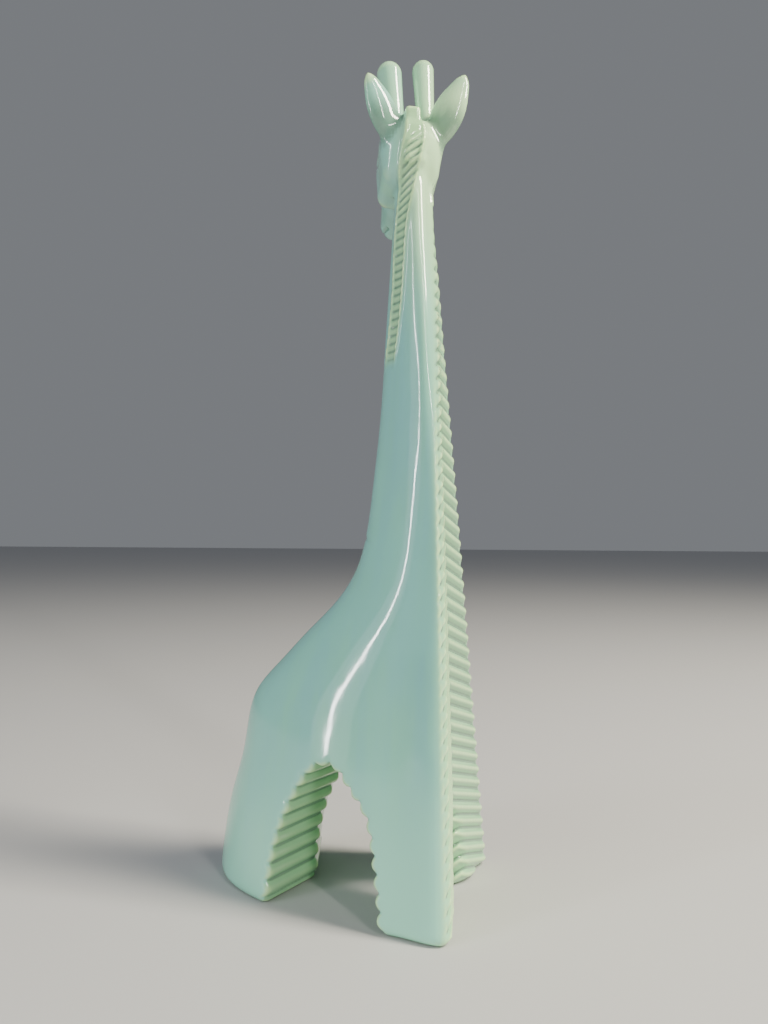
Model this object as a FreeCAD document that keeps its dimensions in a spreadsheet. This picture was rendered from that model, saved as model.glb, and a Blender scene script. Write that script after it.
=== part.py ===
"""Giraffe figure in ribbed, glazed, slip-cast ceramic.

+X is the way the body faces, +Y is the giraffe's left, +Z is up, in millimetres.
The origin is on the table, below the middle of the figure. The castings are hollow
and are luted to each other, so each touches the next one face to face.
"""

import math
import os

import FreeCAD, Part
from FreeCAD import Placement, Rotation, Vector

doc = FreeCAD.newDocument("giraffe_figure")

# ---------------------------------------------------------------- driving dimensions
SHEET_ROWS = [
    ("figure_height", 405),
    ("foot_front", 62.5),  # front edge of the front feet, ahead of the origin
    ("front_half_width", 44.6),  # half the spread of the front feet
    ("chest_lean", 16.4),  # how far back the chest has leant at its upper point
    ("chest_point_height", 325),  # where the ribbed chest narrows to nothing
    ("valley_angle", 10),  # each half of the chest turns inward by this, degrees
    ("chest_rib_drop", 18),  # slope of the chest ribs from the middle outward, degrees
    ("chest_rib_pitch", 6.4),
    ("chest_rib_depth", 2.1),
    ("arch_rib_pitch", 7.4),
    ("arch_rib_depth", 2.4),
    ("arch_skew", 0.34),  # how far the side arch moves back for each mm outward
    ("casting_wall", 5),
    ("sole_thickness", 6),
    ("vent_radius", 4),
    ("seam_height", 156),
    ("seam_tilt", 24),  # degrees
    ("head_turn", 118),  # degrees, from straight ahead to the giraffe's left
    ("horn_base_radius", 4),
    ("left_horn_tip_radius", 6.2),
    ("right_horn_tip_radius", 5.4),
    ("horn_length", 39),
    ("horn_lean", 18),  # degrees forward
    ("horn_splay", 2),  # degrees outward
    ("horn_spread", 7.3),
    ("ear_length", 36),
    ("ear_half_width", 7.9),
]

sheet = doc.addObject("Spreadsheet::Sheet", "Dimensions")
for row, (alias, value) in enumerate(SHEET_ROWS, start=1):
    sheet.set(f"A{row}", alias)
    sheet.set(f"B{row}", str(value))
    sheet.setAlias(f"B{row}", alias)
doc.recompute()


def size(alias):
    return float(getattr(sheet, alias))


MM = size("figure_height") / 405  # every fixed outline below is for a figure this tall
WALL = size("casting_wall")
CHEST_POINT = size("chest_point_height")

# ---------------------------------------------------------------- outlines
# height, how far forward the back line is, widest half width, roundness as a neck
STATIONS = [
    (0, -64.0, 44.6, 0.0),
    (20, -62.0, 41.8, 0.0),
    (40, -58.0, 39.0, 0.0),
    (60, -52.3, 36.3, 0.0),
    (78, -49.2, 33.8, 0.0),
    (92, -44.0, 31.9, 0.0),
    (106, -31.5, 30.1, 0.0),
    (120, -18.0, 28.3, 0.0),
    (134, -3.8, 26.5, 0.0),
    (150, 7.4, 24.5, 0.1),
    (170, 13.3, 22.0, 0.3),
    (195, 16.7, 19.2, 0.6),
    (225, 20.0, 16.6, 0.85),
    (260, 22.4, 14.3, 1.0),
    (300, 25.2, 12.6, 1.0),
    (345, 28.0, 11.8, 1.0),
]
ALONG = [0, 0.03, 0.10, 0.25, 0.40, 0.55, 0.70, 0.85, 1.0]  # shares from back to front
FOOT_SWELL = [0, 0.20, 0.42, 0.66, 0.81, 0.92, 0.98, 1.0, 1.0]
TRUNK_SWELL = [0, 0.20, 0.38, 0.61, 0.77, 0.88, 0.95, 0.985, 1.0]
# the neck's half width at shares of the way from its back to its widest place
NECK_WEDGE = [(0, 0), (0.05, 0.20), (0.15, 0.37), (0.35, 0.61), (0.60, 0.82), (0.80, 0.93), (1.0, 1.0)]
TRUNK_FROM = 100 * MM  # above this height the outline no longer changes from foot to trunk

# the side arch on the middle plane: ahead of the origin, above the table
SIDE_ARCH = [(-13, -3), (-12.8, 12), (-10.8, 27), (-5.6, 43), (1.5, 56), (9.5, 64), (18, 64.5)]
SIDE_ARCH += [(26, 57.5), (35, 48), (40.5, 33), (44.5, 15), (47, -3)]
# the low arch between the front legs: to one side, above the table
FRONT_ARCH_SIDE = [(12, -3), (10.5, 8), (8, 20), (4.5, 30)]
FRONT_ARCH = [(-y, z) for y, z in FRONT_ARCH_SIDE] + [(0, 36)] + FRONT_ARCH_SIDE[::-1]
ARCH_VALLEYS = 0.5  # share of the ribs' depth that is cut behind the arch outline


def mix(low, high, share):
    return low + (high - low) * share


def chest_front(z):
    return size("foot_front") - size("chest_lean") * z / CHEST_POINT


def chest_half_width(z):
    return size("front_half_width") * (1 - z / CHEST_POINT)


def wavy_edges(points, bulge, outward):
    """Arcs from each point to the next, each one bulging by bulge along outward(middle, chord)."""
    edges = []
    for start, end in zip(points, points[1:]):
        middle = (start + end) * 0.5
        top = middle + outward(end - start) * bulge
        edges.append(Part.Arc(start, top, end).toShape())
    return edges


def spline(points):
    curve = Part.BSplineCurve()
    curve.interpolate(points)
    return curve


def outset_points(points, chord_normal, distance):
    """The same run of points, each moved off the run by distance."""
    moved = []
    for i, point in enumerate(points):
        before = points[max(i - 1, 0)]
        after = points[min(i + 1, len(points) - 1)]
        moved.append(point - chord_normal(after - before) * distance)
    return moved


def neck_swell(share, edge):
    """Half width of the neck at a share from back to front: round in front, down to the chest's edge."""
    widest = 0.62 + 0.26 * edge
    if share >= widest:
        ahead = (share - widest) / (1 - widest)
        return mix(edge, 1, math.sqrt(1 - ahead * ahead))
    for (low, low_swell), (high, high_swell) in zip(NECK_WEDGE, NECK_WEDGE[1:]):
        if share / widest <= high:
            return mix(low_swell, high_swell, (share / widest - low) / (high - low))


def outline(station, inset):
    """One level of the figure as a closed wire, drawn in from the outer face by inset."""
    height, back, half_width, neck = [value * MM for value in station[:3]] + [station[3]]
    front = chest_front(height)
    edge = min(max(chest_half_width(height), 2.0) / half_width, 1)
    trunk = min(height / TRUNK_FROM, 1)
    left = []
    for share, foot_swell, trunk_swell in zip(ALONG, FOOT_SWELL, TRUNK_SWELL):
        swell = mix(mix(foot_swell, trunk_swell, trunk), neck_swell(share, edge), neck)
        x = mix(back + inset, front - inset, share)
        left.append(Vector(x, swell * (half_width - inset), height))
    nose = mix(5, 1.2, neck) * MM
    left.append(Vector(front - inset + nose, 0.8 * left[-1].y, height))
    right = [Vector(p.x, -p.y, height) for p in reversed(left[1:])]
    curve = spline(right + left)
    return Part.Wire([curve.toShape(), Part.makeLine(left[-1], right[0])])


def figure_loft(inset, stations):
    return Part.makeLoft([outline(s, inset) for s in stations], True, False)


# ---------------------------------------------------------------- arch tools
def into_side_arch(chord):
    return Vector(chord.z, 0, -chord.x).normalize()


def into_front_arch(chord):
    return Vector(0, chord.z, -chord.y).normalize()


def side_arch_tool(ribbed, outset):
    run = [Vector(x * MM, 0, z * MM) for x, z in SIDE_ARCH]
    curve = spline(run)
    count = round(curve.length() / size("arch_rib_pitch")) + 1
    outset += size("arch_rib_depth") * ARCH_VALLEYS
    points = outset_points(curve.discretize(Number=count), into_side_arch, outset)
    if ribbed:
        edges = wavy_edges(points, size("arch_rib_depth"), into_side_arch)
    else:
        edges = [spline(points).toShape()]
    edges.append(Part.makeLine(points[-1], points[0]))
    face = Part.Face(Part.Wire(edges))
    reach = 70 * MM
    skew = size("arch_skew")
    right = face.extrude(Vector(-skew * reach, -reach, 0))
    left = face.extrude(Vector(-skew * reach, reach, 0))
    return right.fuse(left)


def front_arch_tool(ribbed, outset):
    run = [Vector(0, y * MM, z * MM) for y, z in FRONT_ARCH]
    curve = spline(run)
    count = round(curve.length() / size("arch_rib_pitch")) + 1
    points = outset_points(curve.discretize(Number=count), into_front_arch, outset)
    if ribbed:
        edges = wavy_edges(points, size("arch_rib_depth") * 0.7, into_front_arch)
    else:
        edges = [spline(points).toShape()]
    edges.append(Part.makeLine(points[-1], points[0]))
    face = Part.Face(Part.Wire(edges))
    face.translate(Vector(20 * MM, 0, 0))
    return face.extrude(Vector(70 * MM, 0, 0))


# ---------------------------------------------------------------- chest tools
def out_of_chest(chord):
    return Vector(-chord.z, 0, chord.x).normalize()


def chest_half_tool(side, ribbed, inset):
    """Everything ahead of one half of the chest. side is 1 for the left half, -1 for the right."""
    valley_slope = math.tan(math.radians(size("valley_angle")))
    drop = math.tan(math.radians(size("chest_rib_drop")))
    foot_valley = Vector(chest_front(0) - valley_slope * chest_half_width(0), 0, 0)
    upper_point = Vector(chest_front(CHEST_POINT), 0, CHEST_POINT)
    run = upper_point - foot_valley
    count = round(1.15 * run.Length / size("chest_rib_pitch"))
    points = [upper_point + run * (0.04 - 1.15 * i / count) for i in range(count + 1)]
    points = outset_points(points, out_of_chest, inset)
    if ribbed:
        edges = wavy_edges(points, size("chest_rib_depth"), out_of_chest)
    else:
        edges = [Part.makeLine(points[0], points[-1])]
    ahead = Vector(60 * MM, 0, 0)
    corners = [points[-1], points[-1] + ahead, points[0] + ahead, points[0]]
    edges += [Part.makeLine(a, b) for a, b in zip(corners, corners[1:])]
    # the ribs start on the middle plane, which is why both halves meet there rib for rib
    return Part.Face(Part.Wire(edges)).extrude(Vector(valley_slope, side, -drop) * 65 * MM)


# ---------------------------------------------------------------- seams
def seam_block():
    """A block whose under side is the luted seam between body and neck."""
    block = Part.makeBox(300 * MM, 300 * MM, 300 * MM, Vector(-150 * MM, -150 * MM, 0))
    tilt = Rotation(Vector(0, 1, 0), size("seam_tilt"))
    block.Placement = Placement(Vector(36 * MM, 0, size("seam_height")), tilt)
    return block


# ---------------------------------------------------------------- head, in its own turned frame
NECK_AXIS = Vector(36 * MM, -0.5 * MM, 0)  # the middle of the top of the neck
# ahead of the neck axis along the face, middle height, half width, half height
HEAD_SECTIONS = [
    (-14.5, 351, 3.5, 6),
    (-13.5, 351, 7.5, 10.5),
    (-10, 351.5, 11.5, 13.5),
    (-3, 351, 13.8, 15),
    (6, 349.5, 14.4, 16),
    (17, 346, 13, 15),
    (28, 341.5, 10.6, 12.3),
    (38, 337, 9.2, 10.2),
    (46, 334, 7.8, 8.2),
    (50, 333.4, 5.4, 5.6),
    (51.3, 333.2, 2.4, 2.6),
]
HEAD_SQUARENESS = 0.8  # 1 gives plain ellipses, less gives fuller corners
CREST = (-14, 9, 7, 367.5)  # its back, its length, its width and the height of its flat top
CREST_ASIDE = 2.2  # how far the crest stands to the giraffe's left of the head's middle
EAR_ROOT = Vector(-4, 10.5, 357)
EAR_TIP = Vector(-11, 23.2, 383)
EAR_BACK = Vector(-1, -0.35, 0.1)
EAR_SECTIONS = [(0, 0.63), (0.2, 0.86), (0.42, 1), (0.6, 0.95), (0.78, 0.75), (0.92, 0.45), (1, 0.18)]
EAR_UNEVEN = 2  # the right ear's tip stands this much above the middle height, the left one below
HORN_FOOT = Vector(1, 0, 361.3)
HORN_UNEVEN = 1.7  # the same for the horns


def head_place():
    return Placement(NECK_AXIS, Rotation(Vector(0, 0, 1), size("head_turn")))


def squared(value):
    return math.copysign(abs(value) ** HEAD_SQUARENESS, value)


ROUND_TURNS = [math.radians(30 * i) for i in range(12)]
ROUND = [(squared(math.cos(turn)), squared(math.sin(turn))) for turn in ROUND_TURNS]


def head_loft(inset):
    wires = []
    for along, middle, half_width, half_height in HEAD_SECTIONS:
        across = half_width * MM - inset
        upright = half_height * MM - inset
        if inset and across < 3:
            continue
        centre = Vector(along * MM, 0, middle * MM)
        ring = [centre + Vector(0, across * y, upright * z) for y, z in ROUND]
        curve = Part.BSplineCurve()
        curve.interpolate(ring, PeriodicFlag=True)
        wires.append(Part.Wire([curve.toShape()]))
    loft = Part.makeLoft(wires, True, False)
    loft.Placement = head_place()
    return loft


def crest_block():
    back, length, width, top = [value * MM for value in CREST]
    block = Part.makeBox(length, width, 20 * MM, Vector(back, CREST_ASIDE * MM - width / 2, top - 20 * MM))
    block = block.makeFillet(1.2 * MM, [e for e in block.Edges if e.CenterOfMass.z > top - 2 * MM])
    block.Placement = head_place()
    return block


def ear_shape(side, head):
    """A leaf with a cupped front. side is 1 for the left ear, -1 for the right."""
    root = Vector(EAR_ROOT.x, side * EAR_ROOT.y, EAR_ROOT.z) * MM
    tip = Vector(EAR_TIP.x, side * EAR_TIP.y, EAR_TIP.z - side * EAR_UNEVEN) * MM
    axis = (tip - root).normalize()
    back = Vector(EAR_BACK.x, side * EAR_BACK.y, EAR_BACK.z)
    back = (back - axis * axis.dot(back)).normalize()
    across = axis.cross(back)
    length = size("ear_length")
    start = tip - axis * length
    wires = []
    for share, swell in EAR_SECTIONS:
        half = size("ear_half_width") * swell
        middle = start + axis * length * share
        left = middle + across * half
        right = middle - across * half
        outer_arc = Part.Arc(left, middle + back * half * 0.62, right).toShape()
        inner_arc = Part.Arc(right, middle + back * half * 0.08, left).toShape()
        wires.append(Part.Wire([outer_arc, inner_arc]))
    leaf = Part.makeLoft(wires, True, False)
    leaf.Placement = head_place()
    return leaf.cut(head)


# ---------------------------------------------------------------- mane
# height and compass direction, from straight ahead, of the middle of the mane
MANE_RUN = [(366, 289), (358, 292), (345, 284), (331, 270), (312, 248), (290, 240)]
MANE_RUN += [(270, 231), (250, 215)]
MANE_WIDTH = 6.4
MANE_PITCH = 3.5
MANE_GROOVE = 1.25


def mane_direction(height):
    for (high, high_turn), (low, low_turn) in zip(MANE_RUN, MANE_RUN[1:]):
        if height >= low:
            return mix(low_turn, high_turn, (height - low) / (high - low))
    return MANE_RUN[-1][1]


def farthest_hit(solids, start, direction):
    line = Part.makeLine(start, start + direction * 80 * MM)
    reach = [v.Point for solid in solids for v in line.common(solid).Vertexes]
    return max(reach, key=lambda p: (p - start).Length)


def mane_grooves(solids):
    """One short round bar for each groove between two rungs of the mane."""
    bars = []
    height = MANE_RUN[0][0]
    while height > MANE_RUN[-1][0]:
        turn = math.radians(mane_direction(height))
        outward = Vector(math.cos(turn), math.sin(turn), 0)
        sideways = Vector(-math.sin(turn), math.cos(turn), 0)
        start = Vector(NECK_AXIS.x - 2 * MM, 0, height * MM)
        skin = farthest_hit(solids, start, outward)
        foot = skin + outward * 0.35 * MM - sideways * MANE_WIDTH / 2 * MM
        bars.append(Part.makeCylinder(MANE_GROOVE * MM, MANE_WIDTH * MM, foot, sideways))
        height -= MANE_PITCH
    return bars


# ---------------------------------------------------------------- the castings
def largest(shape):
    """The casting without the crumbs that a slanting cut leaves beside it."""
    return max(shape.Solids, key=lambda solid: solid.Volume)


outer = figure_loft(0, STATIONS)
carving_tools = [side_arch_tool(True, 0), front_arch_tool(True, 0)]
carving_tools += [chest_half_tool(side, True, 0) for side in (1, -1)]
carved = outer
for tool in carving_tools:
    carved = carved.cut(tool)

sole = (size("sole_thickness") / MM,) + STATIONS[0][1:]
hollow = figure_loft(WALL, [sole] + STATIONS[1:])
wall_tools = [side_arch_tool(False, WALL), front_arch_tool(False, WALL)]
wall_tools += [chest_half_tool(side, False, WALL) for side in (1, -1)]
for tool in wall_tools:
    hollow = hollow.cut(tool)

head_solid = head_loft(0).fuse(crest_block())
grooves = mane_grooves([outer, head_solid])
shell = carved.cut(hollow)
above_seam = seam_block()
body_solid = shell.cut(above_seam)
neck_solid = largest(shell.common(above_seam).cut(head_solid)).cut(grooves)
head_shell = largest(head_solid.cut(head_loft(WALL * 0.8)).cut(hollow).cut(grooves))


# ---------------------------------------------------------------- the document's pieces
def feature(name, shape):
    piece = doc.addObject("Part::Feature", name)
    piece.Shape = shape
    piece.Placement = Placement()
    return piece


def cut_feature(name, base, tool):
    piece = doc.addObject("Part::Cut", name)
    piece.Base = base
    piece.Tool = tool
    return piece


def bind(piece, **expressions):
    for field, expression in expressions.items():
        piece.setExpression(field, expression)


def horn(name, side, head):
    """A round-tipped club, luted on the head. side is 1 for the left horn, -1 for the right."""
    splay = Rotation(Vector(1, 0, 0), -side * size("horn_splay"))
    lean = splay.multiply(Rotation(Vector(0, 1, 0), size("horn_lean")))
    foot = Vector(HORN_FOOT.x * MM, side * size("horn_spread"), (HORN_FOOT.z - side * HORN_UNEVEN) * MM)
    radius = "Dimensions.left_horn_tip_radius" if side > 0 else "Dimensions.right_horn_tip_radius"
    place = head_place().multiply(Placement(foot, lean))
    stem = doc.addObject("Part::Cone", name + "_stem")
    bind(
        stem,
        Radius1="Dimensions.horn_base_radius * 1 mm",
        Radius2=radius + " * 1 mm",
        Height="Dimensions.horn_length * 1 mm",
    )
    stem.Placement = place
    tip = doc.addObject("Part::Sphere", name + "_tip")
    bind(tip, Radius=radius + " * 1.005 mm")
    tip.Placement = place.multiply(Placement(Vector(0, 0, size("horn_length")), Rotation()))
    club = doc.addObject("Part::MultiFuse", name + "_club")
    club.Shapes = [stem, tip]
    return cut_feature(name, club, head)


vent = doc.addObject("Part::Cylinder", "vent_bar")
bind(
    vent,
    Radius="Dimensions.vent_radius * 1 mm",
    Height="Dimensions.sole_thickness * 3 mm",
)
vent.Placement = Placement(Vector(-34 * MM, 0, -size("sole_thickness")), Rotation())
head_stock = feature("head_stock", head_solid)

pieces = [
    cut_feature("body_casting", feature("body_stock", body_solid), vent),
    feature("neck_casting", neck_solid),
    feature("head_casting", head_shell),
    feature("ear_left", ear_shape(1, head_solid)),
    feature("ear_right", ear_shape(-1, head_solid)),
    horn("horn_left", 1, head_stock),
    horn("horn_right", -1, head_stock),
]
for piece in pieces:
    piece.Label = piece.Name
doc.recompute()

for item in doc.Objects:
    if "Invalid" in item.State or "Error" in item.State:
        raise RuntimeError(f"{item.Name} did not recompute: {item.State}")
for piece in pieces:
    if piece.Shape.isNull() or not piece.Shape.isValid():
        raise RuntimeError(f"{piece.Name} has no valid shape")

os.makedirs("parts", exist_ok=True)
for piece in pieces:
    piece.Shape.exportStep(f"parts/{piece.Label}.step")
    box = piece.Shape.optimalBoundingBox()
    print(piece.Label, len(piece.Shape.Solids), round(piece.Shape.Volume), len(piece.Shape.Faces), box)
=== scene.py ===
"""Looks of the glazed ceramic giraffe figure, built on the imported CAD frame.

The figure is a signed distance on a grid of cubes: below zero inside the clay, above zero outside. The zero
surface becomes one glazed skin, which is then split into the same seven pieces as the CAD. Distances are in
millimetres until the mesh is made. x points ahead, y to the giraffe's left, z up.
"""

import math

import bpy
import numpy as np
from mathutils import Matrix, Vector


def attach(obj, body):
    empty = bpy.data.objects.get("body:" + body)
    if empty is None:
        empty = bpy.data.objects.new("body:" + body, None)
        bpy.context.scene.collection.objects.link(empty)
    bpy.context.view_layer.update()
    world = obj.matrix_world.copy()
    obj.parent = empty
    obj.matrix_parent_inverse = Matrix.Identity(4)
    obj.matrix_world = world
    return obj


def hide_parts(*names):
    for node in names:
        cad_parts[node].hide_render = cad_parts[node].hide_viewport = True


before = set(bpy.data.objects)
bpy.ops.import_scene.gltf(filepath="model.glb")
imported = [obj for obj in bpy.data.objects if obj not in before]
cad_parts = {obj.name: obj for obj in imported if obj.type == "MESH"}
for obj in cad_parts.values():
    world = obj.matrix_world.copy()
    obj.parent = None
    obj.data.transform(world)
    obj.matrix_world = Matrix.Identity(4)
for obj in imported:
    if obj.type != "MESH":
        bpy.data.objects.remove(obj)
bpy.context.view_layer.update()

# ------------------------------------------------------------------ the grid
CELL = 0.75
LOW = np.array([-70.0, -52.0, -3.0])
HIGH = np.array([69.0, 54.0, 409.0])
X, Y, Z = [np.arange(LOW[i], HIGH[i], CELL, dtype=np.float32) for i in range(3)]
XX = X[:, None, None]
YY = Y[None, :, None]
ZZ = Z[None, None, :]
AY = np.abs(YY)
CORNERS = [(i, j, k) for i in (0, 1) for j in (0, 1) for k in (0, 1)]


def level(height):
    """The number of the first grid level at or above this height."""
    return int(np.searchsorted(Z, height))


# ------------------------------------------------------------------ chest
FOOT_FRONT = 62.5  # front edge of the front feet, ahead of the origin
CHEST_LEAN = 16.4  # how far back the chest has leant at its upper point
CHEST_POINT = 325.0  # where the ribbed chest narrows to nothing
CHEST_TOP = 345  # the chest's cut ends below this height
FRONT_HALF_WIDTH = 44.6
VALLEY_SLOPE = math.tan(math.radians(10))  # each half of the chest turns inward
CHEST_DROP = math.tan(math.radians(18))  # slope of the ribs from the middle outward
CHEST_PITCH = 6.4
CHEST_RIB = 2.5
CHEST_RIB_POWER = 0.5
CHEST_RIB_SHARE = 0.2  # the part of a rib's height that lies behind the chest's plane
CHEST_EDGE_ROUND = 1.6

# ------------------------------------------------------------------ arches and feet
ARCH_TOP = 80  # both arches end below this height
ARCH_SKEW = 0.34  # how far the side arch moves back for each mm outward
ARCH_EDGE_ROUND = 3.0
SIDE_PITCH = 7.4
SIDE_RIB = 2.6
SIDE_RIB_SHARE = 0.65  # the part of a rib's height that lies inside the arch's wall
SIDE_ARCH = [(-13, -12), (-13, -3), (-12.8, 12), (-10.8, 27), (-5.6, 43), (1.5, 56), (9.5, 64),
             (18, 64.5), (26, 57.5), (35, 48), (40.5, 33), (44.5, 15), (47, -3), (47, -12)]
FRONT_ARCH_BACK = 30  # the arch between the front legs starts here and opens ahead
FRONT_ARCH_ROUND = 10.0
FRONT_ARCH_APEX = (0, 36)
FRONT_ARCH_SIDE = [(12.5, -12), (12, -3), (10.5, 8), (8, 20), (4.5, 30)]
FRONT_ARCH = [(-y, z) for y, z in FRONT_ARCH_SIDE] + [FRONT_ARCH_APEX] + FRONT_ARCH_SIDE[::-1]
FRONT_RIB_SLOPE = 0.9  # how steeply the ribs fall as they turn into the front arch
FRONT_RIB_REACH = 20
FOOT_ROUND = 4.5
VENT_AHEAD = -34
VENT_RADIUS = 4
VENT_DEPTH = 12
SOLE_LEVELS = 24  # more grid levels than the vent is deep

# ------------------------------------------------------------------ seam between body and neck
SEAM_HEIGHT = 156.0
SEAM_AHEAD = 36
SEAM_TILT = math.radians(24)
SEAM_NOTCH = 0.5
SEAM_NOTCH_WIDTH = 1.1

# ------------------------------------------------------------------ outline of each level
# height, back line, widest half width, roundness as a neck
STATIONS = np.array([
    (-10, -64.2, 46.0, 0), (0, -64.0, 44.6, 0), (20, -62.0, 41.8, 0), (40, -58.0, 39.0, 0),
    (60, -52.3, 36.3, 0), (78, -49.2, 33.8, 0), (92, -44.0, 31.9, 0), (106, -31.5, 30.1, 0),
    (120, -18.0, 28.3, 0), (134, -3.8, 26.5, 0), (150, 7.4, 24.5, 0.1), (170, 13.3, 22.0, 0.3),
    (195, 16.7, 19.2, 0.6), (225, 20.0, 16.6, 0.85), (260, 22.4, 14.3, 1), (300, 25.2, 12.6, 1),
    (345, 28.0, 11.8, 1), (365, 29.0, 11.0, 1),
], float)
# shares of the way from back to front, and the half width there as a share of the widest
ALONG = np.array([0, 0.03, 0.10, 0.25, 0.40, 0.55, 0.70, 0.85, 1.0])
FOOT_SWELL = np.array([0, 0.20, 0.43, 0.69, 0.85, 0.94, 0.985, 1.0, 1.0])
TRUNK_SWELL = np.array([0, 0.20, 0.38, 0.61, 0.77, 0.88, 0.95, 0.985, 1.0])
TRUNK_HEIGHT = 165  # the feet's outline has turned into the trunk's here
# how wide the neck is, at shares of the way from its back to its widest place
WEDGE_SHARES = np.array([0, 0.05, 0.15, 0.35, 0.60, 0.80, 1.0])
WEDGE_SWELL = np.array([0, 0.20, 0.37, 0.61, 0.82, 0.93, 1.0])
TRUNK_NOSE = 5  # how far the outline stands ahead of the chest's edge
NECK_NOSE = 1.2
NECK_END = 362  # every level above this one repeats it

# ------------------------------------------------------------------ head and mane
HEAD_FLOOR = 318
HEAD_AXIS = np.array([36.0, -0.5])
HEAD_TURN = math.radians(118)
EAR_SHARES = [0, 0.15, 0.35, 0.58, 0.75, 0.88, 0.96, 1.0]
EAR_HALF_WIDTHS = [2.8, 4.7, 7.2, 7.8, 6.4, 4.5, 2.9, 1.5]
MANE_FLOOR = 226
MANE_TOP = 374
MANE_PITCH = 3.8
# height and half width, and height and compass direction, of the mane
MANE_WIDTH = np.array([(220, 3.3), (250, 3.5), (290, 3.8), (308, 4.1), (326, 4.3), (340, 4.7),
                       (352, 4.8), (362, 3.8), (376, 3.4)])
MANE_RUN = np.array([(220, 190), (234, 200), (250, 215), (270, 231), (290, 240), (312, 248),
                     (331, 270), (345, 284), (358, 292), (366, 289), (376, 289)], float)

# ------------------------------------------------------------------ glaze, with painted light and shade
EDGE_TINT = 9.0  # how far behind the chest's edge the glaze still runs thin
EAR_PAINTED_SHADE = 1.0  # painted shade on the lower ears, added to the glaze's hollow measure
# painted shade on the hanging muzzle, added to the glaze's hollow measure
MUZZLE_PAINTED_SHADE = 0.5

TEAL = (0.220, 0.530, 0.500, 1)
GREEN = (0.240, 0.590, 0.450, 1)
MINT = (0.240, 0.600, 0.520, 1)
# painted light: paler glaze towards the feet, standing in for light bounced up from the floor
PAINTED_FLOOR_BOUNCE = (0.360, 0.820, 0.610, 1)
# painted light: the warm lamp's yellow glow on the upper right side of the neck and head
PAINTED_WARM_LIGHT = (0.560, 0.820, 0.440, 1)
RIM = (0.420, 0.740, 0.430, 1)
WORKED = (0.360, 0.640, 0.310, 1)
# glaze pooled deep in hollows, darkened further as painted shade in the rib valleys and grooves, on the
# lower ears and on the muzzle
POOLED_GLAZE_AND_SHADE = (0.140, 0.260, 0.190, 1)
THIN = (0.600, 0.880, 0.440, 1)

# ------------------------------------------------------------------ studio, in metres
FLOOR_DARK = (0.46, 0.46, 0.47, 1)
FLOOR_LIGHT = (0.50, 0.50, 0.51, 1)
FLOOR_SIZE = 14
AIR_COLOR = (0.80, 0.84, 0.90, 1)
AIR_STRENGTH = 0.24
LIGHT_TARGET = (0, 0, 0.2)
# name, place, width and height, watts, colour, whether the glaze mirrors it
LIGHTS = [
    ("warm_right", (1.15, 0.05, 1.25), (0.3, 0.9), 62, (1.0, 0.92, 0.74), True),
    ("cool_front", (-0.9, -1.4, 1.2), (1.2, 1.2), 10, (0.86, 0.93, 1.0), False),
    ("window_strip", (-1.1, -1.25, 0.45), (0.038, 1.5), 9, (1.0, 1.0, 1.0), True),
    ("window_glow", (-1.12, -1.27, 0.45), (0.45, 1.5), 2.2, (0.92, 0.97, 1.0), True),
    ("door_strip", (0.9, -0.75, 0.75), (0.04, 0.9), 6, (1.0, 0.96, 0.88), True),
]
CAMERA_PLACE = (0.1332, -0.3536, 0.1692)
CAMERA_TILT = 1.5  # degrees above level
CAMERA_HEADING = 17.5  # degrees
CAMERA_LENS = 27.04  # mm, on a sensor 36 mm wide


# ------------------------------------------------------------------ small helpers
def ramp(value, start, end):
    """0 at start and before it, 1 at end and past it."""
    return np.clip((value - start) / (end - start), 0, 1)


def soft_step(value, sharpness):
    """0 well below zero, 1 well above it."""
    return 1 / (1 + np.exp(np.clip(-value * sharpness, -80, 80)))


def spline_through(knots, values, at):
    """Natural cubic through the values at the knots, read at the places in at."""
    knots, values = np.asarray(knots, float), np.asarray(values, float)
    step = np.diff(knots)
    count = len(knots)
    rows = np.eye(count)
    right = np.zeros(count)
    rise = np.diff(values) / step
    for i in range(1, count - 1):
        rows[i, i - 1:i + 2] = step[i - 1], 2 * (step[i - 1] + step[i]), step[i]
        right[i] = 6 * (rise[i] - rise[i - 1])
    bend = np.linalg.solve(rows, right)
    at = np.clip(at, knots[0], knots[-1])
    i = np.clip(np.searchsorted(knots, at) - 1, 0, count - 2)
    h = step[i]
    a, b = (knots[i + 1] - at) / h, (at - knots[i]) / h
    curve = (a ** 3 - a) * bend[i] + (b ** 3 - b) * bend[i + 1]
    return a * values[i] + b * values[i + 1] + curve * h * h / 6


def curve_through(points, count):
    """This many places, evenly spaced, on a smooth curve through the points."""
    points = np.asarray(points, float)
    steps = np.linalg.norm(np.diff(points, axis=0), axis=1)
    reach = np.concatenate([[0], np.cumsum(steps)])
    at = np.linspace(0, reach[-1], count)
    return np.stack([spline_through(reach, points[:, i], at) for i in (0, 1)], 1)


def smooth_max(a, b, blend):
    gap = np.maximum(blend - np.abs(a - b), 0) / blend
    return np.maximum(a, b) + gap * gap * blend / 4


def smooth_min(a, b, blend):
    return -smooth_max(-a, -b, blend)


def to_polyline(px, py, line):
    """Distance from each point to the line, and how far along the line its nearest place is."""
    best = np.full(px.shape, 1e9, np.float32)
    where = np.zeros(px.shape, np.float32)
    gone = 0.0
    for (ax, ay), (bx, by) in zip(line, line[1:]):
        dx, dy = bx - ax, by - ay
        length = math.hypot(dx, dy)
        t = np.clip(((px - ax) * dx + (py - ay) * dy) / (length * length), 0, 1)
        away = (px - ax - t * dx) ** 2 + (py - ay - t * dy) ** 2
        nearer = away < best
        best = np.where(nearer, away, best)
        where = np.where(nearer, gone + t * length, where)
        gone += length
    return np.sqrt(best), where


def rib_wave(run, pitch, power=0.36):
    """Round ridges with narrow valleys between them, from 0 to 1."""
    return (np.sin(np.pi * run / pitch) ** 2 + 0.012) ** power


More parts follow.
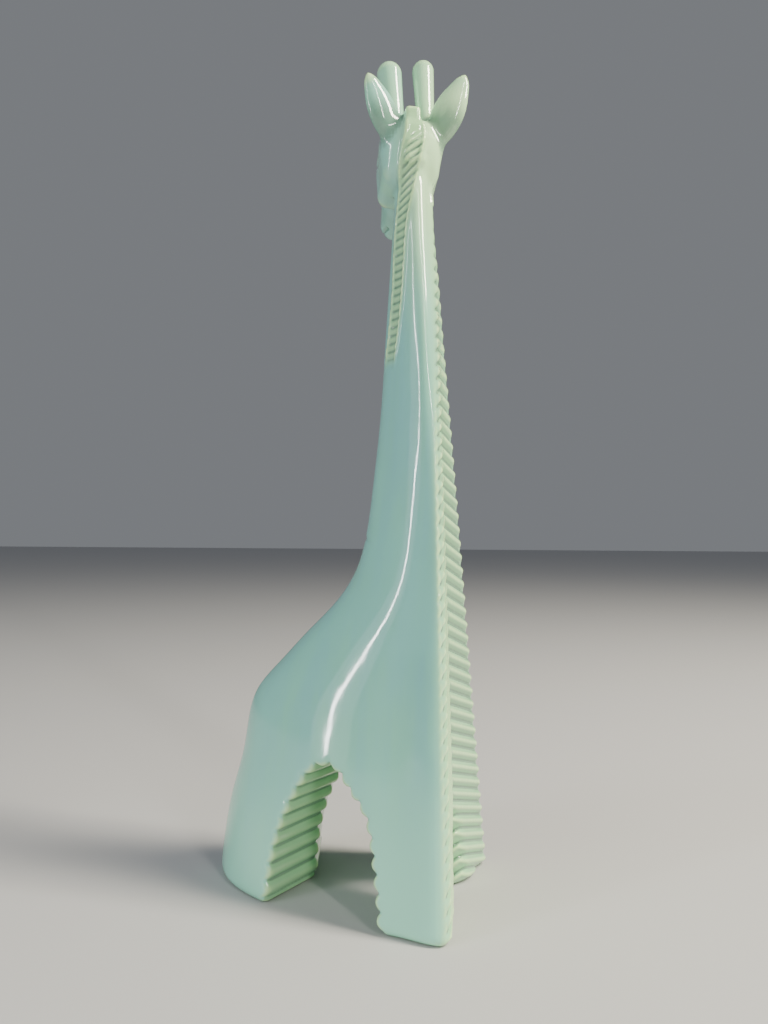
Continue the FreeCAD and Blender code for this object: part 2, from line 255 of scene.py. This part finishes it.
def read_table(table, first, second, u, v):
    """The table's value at each place (u, v), by linear interpolation."""
    fu = np.clip((u - first[0]) / (first[1] - first[0]), 0, len(first) - 1.001)
    fv = np.clip((v - second[0]) / (second[1] - second[0]), 0, len(second) - 1.001)
    i, j = fu.astype(int), fv.astype(int)
    a, b = fu - i, fv - j
    low = table[i, j] * (1 - b) + table[i, j + 1] * b
    high = table[i + 1, j] * (1 - b) + table[i + 1, j + 1] * b
    return low * (1 - a) + high * a


# ------------------------------------------------------------------ the figure before carving
def chest_front(z):
    return FOOT_FRONT - CHEST_LEAN * z / CHEST_POINT


def chest_half_width(z):
    return FRONT_HALF_WIDTH * (1 - z / CHEST_POINT)


def chest_plane(y, z):
    """Where the chest lies before its ribs: each half slopes back from its edge to the middle."""
    return chest_front(z) - VALLEY_SLOPE * (chest_half_width(z) - np.abs(y))


def seam_side(x, z):
    """Above zero on the neck's side of the luted seam."""
    return (z - SEAM_HEIGHT) * math.cos(SEAM_TILT) + (x - SEAM_AHEAD) * math.sin(SEAM_TILT)


def neck_swell(edge):
    """Half widths of a neck whose front edge is this share of its widest place."""
    widest = 0.62 + 0.26 * edge
    behind = spline_through(WEDGE_SHARES, WEDGE_SWELL, ALONG / widest)
    ahead = ramp(ALONG, widest, 1)
    return np.where(ALONG < widest, behind, edge + (1 - edge) * np.sqrt(1 - ahead ** 2))


def level_outline(z):
    """The left half of the level's outline, from the back line to the front."""
    back, half_width, neck = [float(spline_through(STATIONS[:, 0], STATIONS[:, i], z)) for i in (1, 2, 3)]
    neck = min(max(neck, 0), 1)
    front = chest_front(z)
    edge = min(max(chest_half_width(z), 2.0) / half_width, 1.0)
    swell = FOOT_SWELL + (TRUNK_SWELL - FOOT_SWELL) * ramp(z, 0, TRUNK_HEIGHT)
    swell = swell + (neck_swell(edge) - swell) * neck
    side = np.stack([back + (front - back) * ALONG, swell * half_width], 1)
    nose = (TRUNK_NOSE + (NECK_NOSE - TRUNK_NOSE) * neck) * min(max((350 - z) / 60, 0.1), 1)
    side = np.vstack([side, [front + nose, 0.8 * side[-1, 1]]])
    whole = np.vstack([side[:0:-1] * [1, -1], side])
    return curve_through(whole, 121)[60:]


def figure_field():
    """Signed distance to the uncarved figure, level by level."""
    field = np.empty((len(X), len(Y), len(Z)), np.float32)
    px, py = np.meshgrid(X, Y[Y >= 0], indexing="ij")
    flip = np.abs(np.arange(len(Y)) - np.argmin(np.abs(Y)))
    for k, z in enumerate(Z):
        if z > NECK_END:
            field[:, :, k] = field[:, :, k - 1]
            continue
        line = level_outline(float(z))
        away, _ = to_polyline(px, py, line)
        wide = np.interp(px, line[:, 0], line[:, 1], left=-1, right=-1)
        signed = np.where(py < wide, -away, away)
        signed = np.maximum(signed, px - line[-1][0])
        field[:, :, k] = signed[:, np.minimum(flip, signed.shape[1] - 1)]
    return field


# ------------------------------------------------------------------ carving
def profile_field(line, across, up):
    """Distance into an arch's wall, negative in its opening, and how far round the arch."""
    curve = curve_through(line, 161)
    away, run = to_polyline(across, up, curve)
    inside = np.zeros(across.shape, bool)
    for (ax, ay), (bx, by) in zip(curve, np.roll(curve, -1, axis=0)):
        crosses = (ay > up) != (by > up)
        at = ax + (up - ay) * (bx - ax) / (by - ay if by != ay else 1e-9)
        inside ^= crosses & (across < at)
    return np.where(inside, -away, away), run


def arch_profile(line, across, up):
    """The arch's profile_field, read at each place of the grid."""
    first, second = np.arange(-60, 110, 0.5), np.arange(-13, 82, 0.5)
    tables = profile_field(line, *np.meshgrid(first, second, indexing="ij"))
    return [read_table(table, first, second, across, up) for table in tables]


def side_arch_wall():
    """Below zero in the arch through both sides, above zero in its ribbed wall."""
    wall, run = arch_profile(SIDE_ARCH, XX + ARCH_SKEW * AY, ZZ[:, :, :level(ARCH_TOP)])
    return wall + SIDE_RIB * (rib_wave(run, SIDE_PITCH) - SIDE_RIB_SHARE)


def chest_cut():
    """Above zero ahead of the ribbed chest and in the arch between the front legs."""
    z = ZZ[:, :, :level(CHEST_TOP)]
    low = slice(0, level(ARCH_TOP))
    plane = chest_plane(AY, z)
    cut = (XX - plane) * 0.96 - 30 * ramp(z, CHEST_POINT, CHEST_POINT + 10)
    wall, _ = arch_profile(FRONT_ARCH, AY, ZZ[:, :, low])
    opening = -np.maximum(wall, FRONT_ARCH_BACK - XX)
    cut[:, :, low] = smooth_max(cut[:, :, low], opening, FRONT_ARCH_ROUND)
    depth = CHEST_RIB * ramp(z, CHEST_POINT + 8, CHEST_POINT - 32)
    depth = depth * np.clip((chest_half_width(z) - AY) / 4, 0.3, 1)
    phase = z + CHEST_DROP * AY + FRONT_RIB_SLOPE * np.clip(plane - XX, 0, FRONT_RIB_REACH)
    return cut - depth * (rib_wave(phase, CHEST_PITCH, CHEST_RIB_POWER) - CHEST_RIB_SHARE)


def carve(field):
    """The field with both arches, the chest, the seam's notch and the feet's rounding cut in."""
    low = slice(0, level(ARCH_TOP))
    side_arch = -side_arch_wall().astype(np.float32) * 0.95
    field[:, :, low] = smooth_max(field[:, :, low], side_arch, ARCH_EDGE_ROUND)
    part = slice(0, level(CHEST_TOP))
    field[:, :, part] = smooth_max(field[:, :, part], chest_cut().astype(np.float32), CHEST_EDGE_ROUND)
    notch = SEAM_NOTCH * np.exp(-(seam_side(XX, ZZ[:, :, part]) / SEAM_NOTCH_WIDTH) ** 2)
    field[:, :, part] += (notch * ramp(XX, 20, 14)).astype(np.float32)
    return smooth_max(field, -ZZ, FOOT_ROUND)


# ------------------------------------------------------------------ head
def head_ahead(x, y):
    """How far ahead of the head's axis a place is, the way the head faces."""
    return (x - HEAD_AXIS[0]) * math.cos(HEAD_TURN) + (y - HEAD_AXIS[1]) * math.sin(HEAD_TURN)


def head_left(x, y):
    return -(x - HEAD_AXIS[0]) * math.sin(HEAD_TURN) + (y - HEAD_AXIS[1]) * math.cos(HEAD_TURN)


def ellipsoid(place, centre, radii):
    offset = [(p - c) for p, c in zip(place, centre)]
    k0 = np.sqrt(sum((o / r) ** 2 for o, r in zip(offset, radii)))
    k1 = np.sqrt(sum((o / (r * r)) ** 2 for o, r in zip(offset, radii))) + 1e-6
    return k0 * (k0 - 1) / k1


def round_cone(place, start, end, start_radius, end_radius):
    start, end = np.array(start, float), np.array(end, float)
    along = end - start
    t = sum((p - s) * a for p, s, a in zip(place, start, along)) / (along @ along)
    t = np.clip(t, 0, 1)
    away = np.sqrt(sum((p - s - t * a) ** 2 for p, s, a in zip(place, start, along)))
    return away - (start_radius + (end_radius - start_radius) * t)


def soft_box(place, centre, half, radius):
    q = [np.abs(p - c) - (h - radius) for p, c, h in zip(place, centre, half)]
    outside = np.sqrt(sum(np.maximum(a, 0) ** 2 for a in q))
    return outside + np.minimum(np.maximum(np.maximum(q[0], q[1]), q[2]), 0) - radius


def ear_field(place, side):
    """A leaf with a cupped front. side is 1 for the left ear, -1 for the right."""
    root = np.array([-4, side * 9.5, 354.0])
    tip = np.array([-11, side * 23.2, 383 - 2 * side])
    length = np.linalg.norm(tip - root) + 5
    axis = (tip - root) / np.linalg.norm(tip - root)
    back = np.array([-1, side * -0.35, 0.1])
    back -= axis * (axis @ back)
    back /= np.linalg.norm(back)
    offset = [p - s for p, s in zip(place, tip - axis * length)]
    ways = (axis, np.cross(axis, back), back)
    along, wide, behind = [sum(o * w for o, w in zip(offset, way)) for way in ways]
    share = along / length
    half = spline_through(EAR_SHARES, EAR_HALF_WIDTHS, share)
    over = np.maximum(share - 1, 0) * length + np.maximum(-share, 0) * length
    thick = np.where(behind > 0, 0.55, 0.3) * half + 0.6
    shell = (np.sqrt((wide / half) ** 2 + (behind / thick) ** 2) - 1) * thick
    shell = np.sqrt(np.maximum(shell, 0) ** 2 + over ** 2) + np.minimum(shell, 0)
    cup_radii = (length * 0.36, 5.0, 3.4)
    cup = ellipsoid((share * length, wide, behind), (length * 0.56, 0, -3.6), cup_radii)
    return smooth_max(shell, -cup, 1.2)


def horn_field(place, side):
    """A round-ended club. side is 1 for the left horn, -1 for the right."""
    foot = (1, side * 7.3, 361 - side)
    tip = (13, side * 8.6, 398.3 - 1.7 * side)
    return round_cone(place, foot, tip, 4.0, 5.8 + 0.4 * side)


def head_field(place):
    """Skull, jaw and hanging muzzle, the face cut into them, and the crest down the nape."""
    ahead, left, up = place
    slanted = (ahead, left, up + 0.32 * (ahead - 5))
    skull = ellipsoid(place, (0, 0.9, 351), (14.5, 13.2, 15.0))
    jaw = soft_box(slanted, (5.0, 1.4, 346.2), (12.5, 13.2, 13.2), 5.0)
    muzzle = round_cone(place, (14, 0, 346), (43, -0.5, 333.8), 11.5, 8.0)
    head = smooth_min(smooth_min(skull, jaw, 7), muzzle, 7)
    for side in (1, -1):
        eye = ellipsoid(place, (11.0, 1.0 + side * 13.0, 351.5), (4.4, 3.0, 2.8))
        head = smooth_max(head, np.minimum(0.5 - np.abs(eye), head + 0.7), 0.6)
        nostril = ellipsoid(place, (49.4, -0.5 + side * 3.4, 336.0), (1.6, 1.1, 1.3))
        head = smooth_max(head, -nostril, 0.8)
    mouth = soft_box(place, (46, 0, 329.6), (9, 12, 0.35), 0.3)
    head = smooth_max(head, -mouth, 1.2)
    crest = soft_box(place, (-9.5, 2.2, 358.5), (4.4, 3.5, 9.0), 1.4)
    nape = soft_box(place, (-9.5, 1.4, 350.0), (5.0, 4.8, 9.0), 2.0)
    return smooth_min(head, smooth_min(crest, nape, 4.0), 2.0)


def head_parts():
    """The field of each piece above the head's floor, except the neck's."""
    place = (head_ahead(XX, YY), head_left(XX, YY), ZZ[:, :, level(HEAD_FLOOR):])
    parts = {"head_casting": head_field(place)}
    for name, side in (("left", 1), ("right", -1)):
        parts[f"ear_{name}"] = ear_field(place, side)
        parts[f"horn_{name}"] = horn_field(place, side)
    return parts


# ------------------------------------------------------------------ mane
def mane_relief(z):
    """How far the mane stands out of the skin (or in, when negative), and where it lies."""
    turn = np.radians(spline_through(MANE_RUN[:, 0], MANE_RUN[:, 1], z.ravel()))[None, None, :]
    half = spline_through(MANE_WIDTH[:, 0], MANE_WIDTH[:, 1], z.ravel())[None, None, :]
    dx, dy = XX - HEAD_AXIS[0], YY - HEAD_AXIS[1]
    off = (np.arctan2(dy, dx) - turn + math.pi) % (2 * math.pi) - math.pi
    side = off * np.sqrt(dx * dx + dy * dy)
    border = 0.9 * np.exp(-((np.abs(side) - half) / 0.8) ** 2)
    brim = 0.7 + 1.5 * ramp(z, 322, 342)
    inner = soft_step(half - 0.7 - side, 4) * soft_step(side + half - brim, 4)
    steep = 0.8 * ramp(z, 310, 340)
    bed = inner * (-1.3 + 1.6 * rib_wave(z - side * steep, MANE_PITCH))
    fade = ramp(z, 245, 254)
    relief = (border * ramp(z, 364, 356) + bed * ramp(z, 356, 348)) * fade
    mask = fade * soft_step(half + 1.2 - np.abs(side), 3)
    return relief, mask


# ------------------------------------------------------------------ the whole figure
def add_head(field, parts):
    """Blend the head's pieces into the field, and note the neck's own field beside theirs."""
    upper = slice(level(HEAD_FLOOR), None)
    closed = (ramp(Z[upper], 345, 355) * 40).astype(np.float32)
    parts["neck_casting"] = field[:, :, upper] + closed
    whole = smooth_min(parts["neck_casting"], parts["head_casting"], 4.0)
    for name in ("ear_left", "ear_right", "horn_left", "horn_right"):
        whole = smooth_min(whole, parts[name], 3.0)
    field[:, :, upper] = whole


def drill_vent(field):
    sole = slice(0, SOLE_LEVELS)
    bar = np.sqrt((XX - VENT_AHEAD) ** 2 + YY ** 2) - VENT_RADIUS
    vent = np.maximum(bar, ZZ[:, :, sole] - VENT_DEPTH)
    field[:, :, sole] = smooth_max(field[:, :, sole], -vent, 1.0)


def build_field():
    """The whole figure's field, where it is carved, and the upper pieces' own fields."""
    plain = figure_field()
    worked = ramp(plain, -0.4, -1.6)
    field = carve(plain)
    parts = head_parts()
    add_head(field, parts)
    nape = slice(level(MANE_FLOOR), level(MANE_TOP))
    relief, mask = mane_relief(ZZ[:, :, nape])
    field[:, :, nape] -= relief.astype(np.float32)
    worked[:, :, level(HEAD_FLOOR):] = 0
    worked[:, :, nape] = np.maximum(worked[:, :, nape], mask)
    drill_vent(field)
    return field, worked, parts


# ------------------------------------------------------------------ mesh from the field
def crossing_centres(field, cells):
    """For each cell, the middle of the places where the surface crosses its edges."""
    total = np.zeros((len(cells), 3))
    hits = np.zeros(len(cells))
    value = {c: field[cells[:, 0] + c[0], cells[:, 1] + c[1], cells[:, 2] + c[2]] for c in CORNERS}
    for start in CORNERS:
        for axis in range(3):
            if start[axis]:
                continue
            end = tuple(v + (n == axis) for n, v in enumerate(start))
            crossed = (value[start] < 0) != (value[end] < 0)
            fall = np.where(crossed, value[start] - value[end], 1)
            place = np.tile(np.array(start, float), (len(cells), 1))
            place[:, axis] += np.where(crossed, value[start] / fall, 0)
            total += np.where(crossed[:, None], place, 0)
            hits += crossed
    return total / hits[:, None]


def crossing_quads(inside, index, axis):
    """One quad round each grid edge along this axis that the surface crosses."""
    b, c = [n for n in range(3) if n != axis]
    before = tuple(slice(0, -1) if n == axis else slice(None) for n in range(3))
    after = tuple(slice(1, None) if n == axis else slice(None) for n in range(3))
    edge = np.argwhere(inside[before] != inside[after])
    edge = edge[(edge[:, b] > 0) & (edge[:, c] > 0)]
    edge = edge[(edge[:, b] < index.shape[b]) & (edge[:, c] < index.shape[c])]
    ring = []
    for db, dc in ((1, 1), (0, 1), (0, 0), (1, 0)):
        cell = edge.copy()
        cell[:, b] -= db
        cell[:, c] -= dc
        ring.append(index[cell[:, 0], cell[:, 1], cell[:, 2]])
    ring = np.stack(ring, 1)
    outward = inside[edge[:, 0], edge[:, 1], edge[:, 2]]
    if axis == 1:
        outward = ~outward
    ring[~outward] = ring[~outward][:, ::-1]
    return ring


def surface_nets(field):
    """One vertex in each cell that the surface crosses, and a quad round each crossed edge."""
    inside = field < 0
    size = tuple(n - 1 for n in field.shape)
    count = np.zeros(size, np.uint8)
    for i, j, k in CORNERS:
        count += inside[i:i + size[0], j:j + size[1], k:k + size[2]]
    mixed = (count > 0) & (count < len(CORNERS))
    cells = np.argwhere(mixed)
    verts = LOW + CELL * (cells + crossing_centres(field, cells))
    index = np.full(size, -1, np.int32)
    index[mixed] = np.arange(len(cells))
    return verts, np.vstack([crossing_quads(inside, index, axis) for axis in range(3)])


def sample(field, places):
    """The field at each place, by trilinear interpolation."""
    at = np.clip((places - LOW) / CELL, 0, np.array(field.shape) - 1.001)
    i = at.astype(int)
    f = at - i
    total = np.zeros(len(places))
    for c in CORNERS:
        weight = np.prod([f[:, n] if c[n] else 1 - f[:, n] for n in range(3)], axis=0)
        total += weight * field[i[:, 0] + c[0], i[:, 1] + c[1], i[:, 2] + c[2]]
    return total


def unit_normals(field, places):
    """Which way the field rises most steeply at each place."""
    slope = np.zeros_like(places)
    for n in range(3):
        move = np.zeros(3)
        move[n] = CELL
        slope[:, n] = sample(field, places + move) - sample(field, places - move)
    slope /= 2 * CELL
    return slope / (np.linalg.norm(slope, axis=1)[:, None] + 1e-9)


def nearest_value(block, places):
    """A head part's field at the grid place nearest each of the places."""
    base = np.array([X[0], Y[0], Z[level(HEAD_FLOOR)]])
    at = np.clip(np.rint((places - base) / CELL), 0, np.array(block.shape) - 1).astype(int)
    return block[at[:, 0], at[:, 1], at[:, 2]]


# ------------------------------------------------------------------ how the glaze lies
def surface_bend(field, verts, normals, reach):
    """Above zero where the surface is hollow, below zero where it is a ridge."""
    spread = np.cross(normals, [0.3, 0.2, 1.0])
    spread /= np.linalg.norm(spread, axis=1)[:, None] + 1e-6
    other = np.cross(normals, spread)
    total = np.zeros(len(verts))
    for way in (spread, -spread, other, -other):
        total -= sample(field, verts + way * reach)
    return total / 4


def glaze_tints(field, worked, parts, verts, normals):
    """How deep the glaze stands, with painted shade added on the lower ears and the muzzle, and how much
    the surface is carved, at each vertex.
    """
    x, y, z = verts.T
    bend = 1.8 * surface_bend(field, verts, normals, 1.2)
    bend += 0.4 * surface_bend(field, verts, normals, 3.0)
    ears = np.minimum(*[nearest_value(parts[name], verts) for name in ("ear_left", "ear_right")])
    # painted shade: the lower ears and the hanging muzzle darkened through the pooled glaze colour
    bend += EAR_PAINTED_SHADE * ramp(ears, 3, 0) * ramp(z, 378, 362) * (z > 340)
    bend += MUZZLE_PAINTED_SHADE * ramp(head_ahead(x, y), 18, 30) * (z > HEAD_FLOOR)
    beside = 0.7 * ramp(chest_plane(y, z) - x, EDGE_TINT, 0) ** 2 * (z < CHEST_POINT)
    carved = sample(worked, verts + 0.8 * normals * CELL)
    return {"glaze_bend_and_shade": bend, "glaze_worked": np.maximum(beside, carved)}


# ------------------------------------------------------------------ pieces
def piece_of_each(parts, names, middle):
    """The number of the piece that each quad belongs to, from the quad's middle."""
    lower = np.where(seam_side(middle[:, 0], middle[:, 2]) > 0, 1, 0)
    near = np.stack([nearest_value(parts[name], middle) for name in names[1:]], 1)
    upper = middle[:, 2] > Z[level(HEAD_FLOOR)] + 2
    return np.where(upper, 1 + np.argmin(near, axis=1), lower)


def make_piece(name, verts, quads, normals, tints, material):
    used, flat = np.unique(quads, return_inverse=True)
    mesh = bpy.data.meshes.new(name + "_glazed")
    mesh.from_pydata((verts[used] / 1000).tolist(), [], flat.reshape(-1, 4).tolist())
    mesh.polygons.foreach_set("use_smooth", np.ones(len(mesh.polygons), bool))
    mesh.normals_split_custom_set_from_vertices(normals[used].tolist())
    for tint, values in tints.items():
        layer = mesh.attributes.new(tint, "FLOAT", "POINT")
        layer.data.foreach_set("value", values[used].astype(np.float32))
    mesh.materials.append(material)
    piece = bpy.data.objects.new(name + "_glazed", mesh)
    bpy.context.scene.collection.objects.link(piece)
    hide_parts(name)
    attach(piece, "root")


def build_pieces(material):
    field, worked, parts = build_field()
    verts, quads = surface_nets(field)
    normals = unit_normals(field, verts)
    tints = glaze_tints(field, worked, parts, verts, normals)
    names = ["body_casting", "neck_casting", "head_casting", "ear_left", "ear_right"]
    names += ["horn_left", "horn_right"]
    owner = piece_of_each(parts, names, verts[quads].mean(axis=1))
    for number, name in enumerate(names):
        make_piece(name, verts, quads[owner == number], normals, tints, material)


# ------------------------------------------------------------------ materials
class NodeBook:
    """Makes and joins the nodes of one material."""

    def __init__(self, name):
        self.material = bpy.data.materials.new(name)
        self.material.use_nodes = True
        self.nodes = self.material.node_tree.nodes
        self.links = self.material.node_tree.links
        self.inputs = self.nodes["Principled BSDF"].inputs

    def put(self, socket, value):
        """Join the socket to value where that is a node's output, or else set it."""
        if isinstance(value, bpy.types.NodeSocket):
            self.links.new(value, socket)
        else:
            socket.default_value = value

    def attribute(self, name):
        node = self.nodes.new("ShaderNodeAttribute")
        node.attribute_name = name
        return node.outputs["Fac"]

    def place(self):
        """The place on the figure, in metres."""
        return self.nodes.new("ShaderNodeTexCoord").outputs["Object"]

    def noise(self, scale, detail, stretch=(1, 1, 1)):
        squash = self.nodes.new("ShaderNodeVectorMath")
        squash.operation = "MULTIPLY"
        squash.inputs[1].default_value = stretch
        self.put(squash.inputs[0], self.place())
        texture = self.nodes.new("ShaderNodeTexNoise")
        texture.inputs["Scale"].default_value = scale
        texture.inputs["Detail"].default_value = detail
        self.put(texture.inputs["Vector"], squash.outputs["Vector"])
        return texture.outputs["Fac"]

    def ramp(self, source, start, end, low, high):
        """low where source is at start, high where it is at end."""
        node = self.nodes.new("ShaderNodeMapRange")
        node.interpolation_type = "SMOOTHSTEP"
        values = {"Value": source, "From Min": start, "From Max": end, "To Min": low, "To Max": high}
        for name, value in values.items():
            self.put(node.inputs[name], value)
        return node.outputs["Result"]

    def product(self, first, second):
        node = self.nodes.new("ShaderNodeMath")
        node.operation = "MULTIPLY"
        self.put(node.inputs[0], first)
        self.put(node.inputs[1], second)
        return node.outputs["Value"]

    def mix(self, share, first, second):
        node = self.nodes.new("ShaderNodeMix")
        node.data_type = "RGBA"
        for name, value in {"Factor": share, "A": first, "B": second}.items():
            self.put(node.inputs[name], value)
        return node.outputs["Result"]


def glaze_color(book):
    """Each layer covers the ones before it, by its share."""
    # the hollow measure, with painted shade on the lower ears and the muzzle added in
    bend = book.attribute("glaze_bend_and_shade")
    worked = book.attribute("glaze_worked")
    axes = book.nodes.new("ShaderNodeSeparateXYZ")
    book.put(axes.inputs[0], book.place())
    ahead, up = axes.outputs["X"], axes.outputs["Z"]
    # painted warm light: the upper neck and head, on the side facing the warm lamp
    high = book.ramp(up, 0.25, 0.34, 0, 1)
    right = book.ramp(ahead, 0.028, 0.046, 0.15, 0.85)
    ridge = book.ramp(bend, -0.06, -0.42, 0, 0.7)
    crown = book.ramp(up, 0.335, 0.368, 0.15, 1)
    layers = [
        (book.ramp(book.noise(85, 3, (1.0, 1.0, 0.07)), 0.34, 0.66, 0, 1), GREEN),
        (book.ramp(book.noise(18, 2), 0.40, 0.62, 0, 0.7), MINT),
        # painted floor bounce light: paler towards the feet
        (book.ramp(up, 0.0, 0.12, 0.8, 0), PAINTED_FLOOR_BOUNCE),
        (book.product(high, right), PAINTED_WARM_LIGHT),
        (book.product(ridge, crown), RIM),
        (book.ramp(worked, 0.1, 1, 0, 0.75), WORKED),
        # pooled glaze, and painted shade in rib valleys, grooves, lower ears and muzzle
        (book.ramp(bend, 0.04, 0.8, 0, 0.8), POOLED_GLAZE_AND_SHADE),
        (book.ramp(bend, -0.25, -0.9, 0, 0.95), THIN),
    ]
    color = TEAL
    for share, tone in layers:
        color = book.mix(share, color, tone)
    return color


def glaze_material():
    """A pale green glaze: deeper where it pools in hollows, paler where it runs thin on ridges. Painted
    shade darkens the hollows, the lower ears and the muzzle; painted light yellows the upper right side and
    pales the feet.
    """
    book = NodeBook("celadon_glaze")
    bump = book.nodes.new("ShaderNodeBump")
    bump.inputs["Strength"].default_value = 0.12
    bump.inputs["Distance"].default_value = 0.0012
    book.put(bump.inputs["Height"], book.noise(75, 1))
    settings = {
        "Base Color": glaze_color(book),
        "Roughness": book.ramp(book.noise(60, 2), 0.3, 0.7, 0.04, 0.09),
        "IOR": 1.52,
        "Coat Weight": 0.5,
        "Coat Roughness": 0.03,
        "Subsurface Weight": 0.08,
        "Subsurface Radius": (0.6, 1.0, 0.7),
        "Subsurface Scale": 0.002,
        "Normal": bump.outputs["Normal"],
    }
    for name, value in settings.items():
        book.put(book.inputs[name], value)
    return book.material


def floor_material():
    book = NodeBook("pale_floor")
    book.put(book.inputs["Base Color"], book.mix(book.noise(3, 2), FLOOR_DARK, FLOOR_LIGHT))
    book.put(book.inputs["Roughness"], 0.6)
    return book.material


# ------------------------------------------------------------------ the studio
def add_floor():
    bpy.ops.mesh.primitive_plane_add(size=1, location=(0, 0, 0))
    floor = bpy.context.active_object
    floor.name = "studio_floor"
    floor.scale = (FLOOR_SIZE, FLOOR_SIZE, 1)
    floor.data.materials.append(floor_material())


def add_air():
    world = bpy.data.worlds.new("studio_air")
    bpy.context.scene.world = world
    world.use_nodes = True
    sky = world.node_tree.nodes["Background"]
    sky.inputs["Color"].default_value = AIR_COLOR
    sky.inputs["Strength"].default_value = AIR_STRENGTH


def add_light(name, place, size, power, color, mirrored):
    light = bpy.data.lights.new(name, "AREA")
    light.shape = "RECTANGLE"
    light.size, light.size_y = size
    light.energy = power
    light.color = color
    lamp = bpy.data.objects.new(name, light)
    bpy.context.scene.collection.objects.link(lamp)
    lamp.location = place
    lamp.rotation_euler = (Vector(LIGHT_TARGET) - Vector(place)).to_track_quat("-Z", "Y").to_euler()
    lamp.visible_glossy = mirrored


def add_camera():
    data = bpy.data.cameras.new("photo_camera")
    data.sensor_width = 36
    data.lens = CAMERA_LENS
    data.clip_start = 0.01
    eye = bpy.data.objects.new("photo_camera", data)
    bpy.context.scene.collection.objects.link(eye)
    eye.location = CAMERA_PLACE
    eye.rotation_euler = (math.radians(90 + CAMERA_TILT), 0, math.radians(CAMERA_HEADING))
    bpy.context.scene.camera = eye


build_pieces(glaze_material())
add_floor()
add_air()
for light in LIGHTS:
    add_light(*light)
add_camera()
